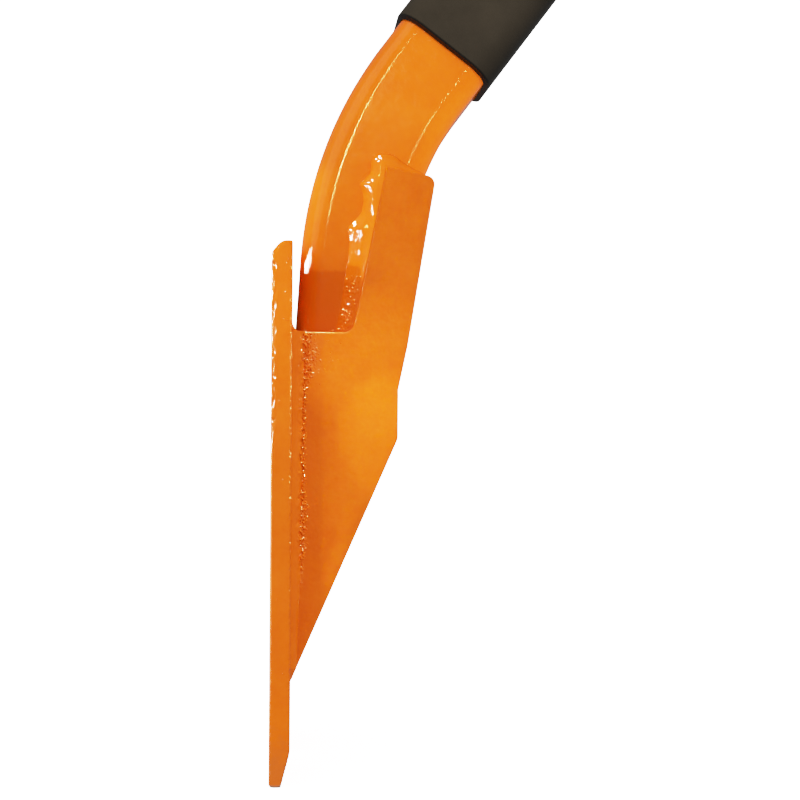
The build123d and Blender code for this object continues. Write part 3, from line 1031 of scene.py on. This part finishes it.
def set_tones():
    """Plain view transform, with highlights rolled off as in a photograph."""
    view = bpy.context.scene.view_settings
    view.view_transform = "Standard"
    view.use_curve_mapping = True
    mapping = view.curve_mapping
    mapping.white_level = (TONE_WHITE,) * 3
    for light, shown in TONE_POINTS:
        mapping.curves[COMBINED_CURVE].points.new(light / TONE_WHITE, shown)
    mapping.update()


def make_camera():
    """Camera of the photograph: level, a little turned and rolled."""
    right = Vector((cos(CAMERA_YAW), -sin(CAMERA_YAW), 0.0))
    forward = Vector((sin(CAMERA_YAW), cos(CAMERA_YAW), 0.0))
    up = Vector((0.0, 0.0, 1.0))
    image_right = right * cos(CAMERA_ROLL) + up * sin(CAMERA_ROLL)
    image_up = up * cos(CAMERA_ROLL) - right * sin(CAMERA_ROLL)
    turn = Matrix((image_right, image_up, -forward)).transposed()
    data = bpy.data.cameras.new("camera")
    data.lens = CAMERA_LENS
    data.sensor_width = CAMERA_SENSOR
    data.clip_start = CAMERA_NEAR
    data.clip_end = CAMERA_FAR
    camera = new_object("camera", data)
    camera.matrix_world = Matrix.Translation(CAMERA_PLACE) @ turn.to_4x4()
    bpy.context.scene.camera = camera


# Kinds of light: aims and reaches on the bar are in millimetres

SPOT_DISTANCE = 2.0
GLINT_DISTANCE = 1.5
HEAD_MIDDLE = (30.0, 0.0, 60.0)


def aim_light(data, towards, distance, aim, pieces, shadowed=True):
    """Light in a direction from a spot on the bar, aimed there. It falls on the given pieces only, past
    the others if it isn't shadowed by them."""
    direction = Vector(towards).normalized()
    light = new_object(data.name, data)
    light.location = Vector(aim) * MM + direction * distance
    light.rotation_euler = direction.to_track_quat("Z", "Y").to_euler()
    lit = bpy.data.collections.new(light.name)
    for piece in pieces:
        lit.objects.link(piece)
    light.light_linking.receiver_collection = lit
    if not shadowed:
        light.light_linking.blocker_collection = lit
    return light


def add_spot(name, towards, reach, watts, pieces, aim, radius=0.03, blend=1.0, shadowed=True):
    """Spot on the given pieces that fades out at a reach from its aim and isn't mirrored in the gloss."""
    data = bpy.data.lights.new(name, "SPOT")
    data.spot_size = 2.0 * atan(reach * MM / SPOT_DISTANCE)
    data.spot_blend = blend
    data.shadow_soft_size = radius
    data.energy = watts
    light = aim_light(data, towards, SPOT_DISTANCE, aim, pieces, shadowed)
    light.visible_glossy = False


def add_glint(name, towards, size, radiance, pieces, colour=WHITE, aim=HEAD_MIDDLE, distance=GLINT_DISTANCE):
    """Bright oval panel that only the gloss of the given pieces mirrors: size is its width and height."""
    data = bpy.data.lights.new(name, "AREA")
    data.shape = "ELLIPSE"
    data.size, data.size_y = size
    data.energy = radiance * pi * pi / 4.0 * size[0] * size[1]
    data.color = colour
    light = aim_light(data, towards, distance, aim, pieces)
    light.visible_diffuse = False
    light.visible_camera = False


# Build: materials first, with the colours below their lines as (colour, line, blur)

TIP_WEAR = [(PAINT_SCUFFED, TIP_Z + 20.0 * MM, 12.0 * MM), (WORN_STEEL, TIP_Z + 1.5 * MM, 0.9 * MM)]
# Painted shade below these heights: on the tube in the notch, and on the lower arm bead
NOTCH_SHADE = [(PAINT_SHADED, 91.0 * MM, 1.2 * MM)]
BEAD_SHADE = [(PAINT_SHADED, 88.0 * MM, 2.0 * MM)]
TUBE_GLOSS = (0.05, 0.12)
WELD_GLOSS = (0.05, 0.10)

paint = make_paint("paint", peel=0.48 * MM, fine=0.05 * MM)
blade_paint = make_paint("blade_paint", peel=0.10 * MM, fine=0.02 * MM, layers=TIP_WEAR)
tube_paint = make_paint("tube_paint", 0.15 * MM, 0.08 * MM, TUBE_GLOSS, 420.0, NOTCH_SHADE)
weld_paint = make_paint("weld_paint", peel=0.06 * MM, fine=0.03 * MM, gloss=WELD_GLOSS)
arm_weld_paint = make_paint("arm_weld_paint", 0.06 * MM, 0.03 * MM, WELD_GLOSS, layers=BEAD_SHADE)
rubber = make_rubber()
plug_plastic = make_plug_plastic()

for node, material in (("gusset_left", paint), ("gusset_right", paint), ("end_plug", plug_plastic)):
    NODES[node].data.materials.clear()
    NODES[node].data.materials.append(material)
blade_body = make_blade(blade_paint)
tube_body = make_tube(tube_paint)
sleeve = make_sleeve(rubber)
hidden_beads = [make_foot_bead(90, weld_paint)]
beads = []
rough = []
for side, seed in ((-1, 10), (1, 50)):
    beads.append(make_arm_bead(side, seed, arm_weld_paint))
    rough.append(make_blade_bead(side, seed + 10, weld_paint))
    hidden_beads.append(make_back_bead(side, seed + 20, weld_paint))
    rough.append(make_crust(side, seed + 26, weld_paint))
    rough.append(make_spatter(side, seed + 30, seed, weld_paint))

make_floor()
make_world()

# Pieces that share a light
gussets = [NODES["gusset_left"], NODES["gusset_right"]]
plates = gussets + beads + rough + hidden_beads
tube = [tube_body]
blade = [blade_body]

# Key light from the front left, in a strength for each group
KEY_WAY = (-0.85, -1.0, 0.42)
KEY_REACH = 900.0
KEY_RADIUS = 0.05
BAR_MIDDLE = (30.0, 0.0, 20.0)
add_spot("key_spot", KEY_WAY, KEY_REACH, 42.0, plates, BAR_MIDDLE, KEY_RADIUS)
add_spot("gusset_key", KEY_WAY, KEY_REACH, 10.0, gussets, BAR_MIDDLE, KEY_RADIUS)
add_spot("blade_key", KEY_WAY, 590.0, 37.0, blade, (3.0, -30.0, 60.0), KEY_RADIUS)
add_spot("tube_key", KEY_WAY, KEY_REACH, 6.0, tube, BAR_MIDDLE, KEY_RADIUS)
add_spot("sleeve_spot", (0.0, -1.0, 0.6), 85.0, 330.0, [sleeve], (62.0, -22.0, 205.0))

# Soft pools of light on the gusset: turn, reach, depth and height in millimetres, watts and blend
GUSSET_POOLS = [
    (0.35, 36.5, 45.5, 52.0, 60.0, 1.0),
    (0.35, 28.3, 52.4, 26.0, 66.0, 0.35),
    (0.45, 15.0, 25.5, 54.0, 30.0, 0.35),
]
POOL_ACROSS = -26.0
POOL_RADIUS = 0.004
for index, (turn, reach, depth, height, watts, blend) in enumerate(GUSSET_POOLS):
    aim = (depth, POOL_ACROSS, height)
    add_spot(f"gusset_spot_{index}", (-turn, -1.0, 0.3), reach, watts, gussets, aim, POOL_RADIUS, blend)

# Pools of light on the tube, the heel and the beads
TUBE_SIDE_WAY = (-1.0, -0.15, 0.3)
TUBE_SIDE_RADIUS = 0.002
SIDE_LOW = (14.0, -15.0, 113.5)
SIDE_TOP = (16.0, -15.0, 136.5)
add_spot("tube_spot", (0.1, -1.0, 0.5), 62.0, 92.0, tube, (58.0, -20.0, 182.0))
add_spot("tube_side", TUBE_SIDE_WAY, 22.0, 115.0, tube, SIDE_LOW, TUBE_SIDE_RADIUS, 0.8, shadowed=False)
add_spot("tube_side_top", TUBE_SIDE_WAY, 46.0, 70.0, tube, SIDE_TOP, TUBE_SIDE_RADIUS, shadowed=False)
add_spot("tube_rear", (1.0, -0.12, -0.1), 90.0, 150.0, tube, (70.0, -15.0, 155.0), shadowed=False)
add_spot("heel_spot", (-0.4, -1.0, 0.4), 48.0, 85.0, blade, (2.0, -40.0, 80.0))
add_spot("bead_spot", (-1.0, -0.6, 0.3), 70.0, 110.0, beads, (38.0, -22.0, 105.0))
add_spot("crust_spot", (0.3, -0.5, 1.0), 120.0, 60.0, rough, (14.0, -28.0, 30.0))

# Panels at the left, mirrored in the gusset, the blade and the beads
add_glint("side_window", (-0.94, -0.32, 0.10), (0.95, 0.30), 40.0, gussets + rough)
add_glint("side_panel", (-0.94, -0.32, 0.15), (0.95, 0.6), 130.0, blade)
add_glint("side_low", (-0.94, -0.32, -0.20), (3.0, 0.45), 8.0, blade, WARM)

# Windows mirrored in the arm bead: angle in degrees, rise, width and height
BEAD_WINDOWS = [(150.0, 0.04, 0.05, 0.30), (159.0, 0.14, 0.13, 0.22), (171.0, 0.08, 0.07, 0.36)]
for index, (angle, rise, width, height) in enumerate(BEAD_WINDOWS):
    turn = radians(angle)
    towards = (cos(turn), -sin(turn), rise)
    add_glint(f"bead_side_{index}", towards, (width, height), 130.0, beads)
add_glint("bead_dots", (-0.60, -0.62, 0.50), (0.03, 0.14), 150.0, beads, YELLOW)
add_glint("bead_panel", (-0.72, -0.08, 0.76), (0.18, 0.18), 200.0, beads)
add_glint("bead_top", (-0.25, 0.1, 1.0), (0.5, 0.5), 90.0, beads)

# Panels above, and lamps for the edges of gusset and blade
BLADE_REAR_EDGE = (7.6, -40.0, 55.0)
add_glint("crust_top", (-0.1, -0.2, 1.0), (0.9, 0.9), 330.0, rough, WARM)
add_glint("top_panel", (0.0, -0.55, 1.0), (0.3, 0.4), 350.0, rough, WARM)
add_glint("notch_panel", (0.0, -0.55, 1.0), (0.3, 0.2), 200.0, gussets, YELLOW)
add_glint("edge_lamp", (-0.75, -0.75, 0.1), (0.15, 0.6), 50.0, gussets, WARM)
add_glint("right_panel", (0.9, -0.45, 0.1), (0.6, 0.6), 4.0, gussets, WARM)
add_glint("right_low", (0.9, -0.45, 0.04), (0.06, 0.04), 50.0, blade, YELLOW, BLADE_REAR_EDGE, distance=0.15)

# Lamps mirrored in the tube, with a column of them along its front corner
LAMP_COUNT = 18
LAMP_LOW = 0.205
LAMP_PITCH = 0.018
LAMP_STRENGTHS = [(0, 34.0), (2, 65.0), (4, 170.0), (7, 170.0), (9, 110.0), (12, 60.0), (17, 40.0)]
add_glint("tube_panel", (-0.8, -0.45, 0.6), (1.2, 1.5), 1.0, tube, WARM)
add_glint("speck_lamp", (0.03, -1.0, 0.25), (0.06, 0.06), 9.0, tube, YELLOW, (42.0, -20.0, 148.0))
add_glint("right_lamp", (0.28, -1.0, 0.15), (0.05, 0.12), 70.0, tube, YELLOW)
for step in range(LAMP_COUNT):
    towards = (-0.10, -1.0, LAMP_LOW + LAMP_PITCH * step)
    add_glint(f"front_lamp_{step}", towards, (0.07, 0.019), between(LAMP_STRENGTHS, step), tube, YELLOW)

# Strokes of light at the heel, close in front of the tube: across, height and length in millimetres
HEEL_STROKES = [(-15.7, 92.9, 5.2), (-17.1, 94.1, 7.4), (-18.5, 95.2, 9.6), (-20.4, 97.0, 8.8)]
HEEL_STROKE_WIDTH = 1.2 * MM
HEEL_STROKE_DISTANCE = 5.2 * MM
for index, (across, height, length) in enumerate(HEEL_STROKES):
    size = (HEEL_STROKE_WIDTH, length * MM)
    aim = (13.5, across, height)
    add_glint(f"heel_glint_{index}", (-1.0, 0.0, 0.0), size, 100.0, tube, WHITE, aim, HEEL_STROKE_DISTANCE)
make_camera()
set_tones()
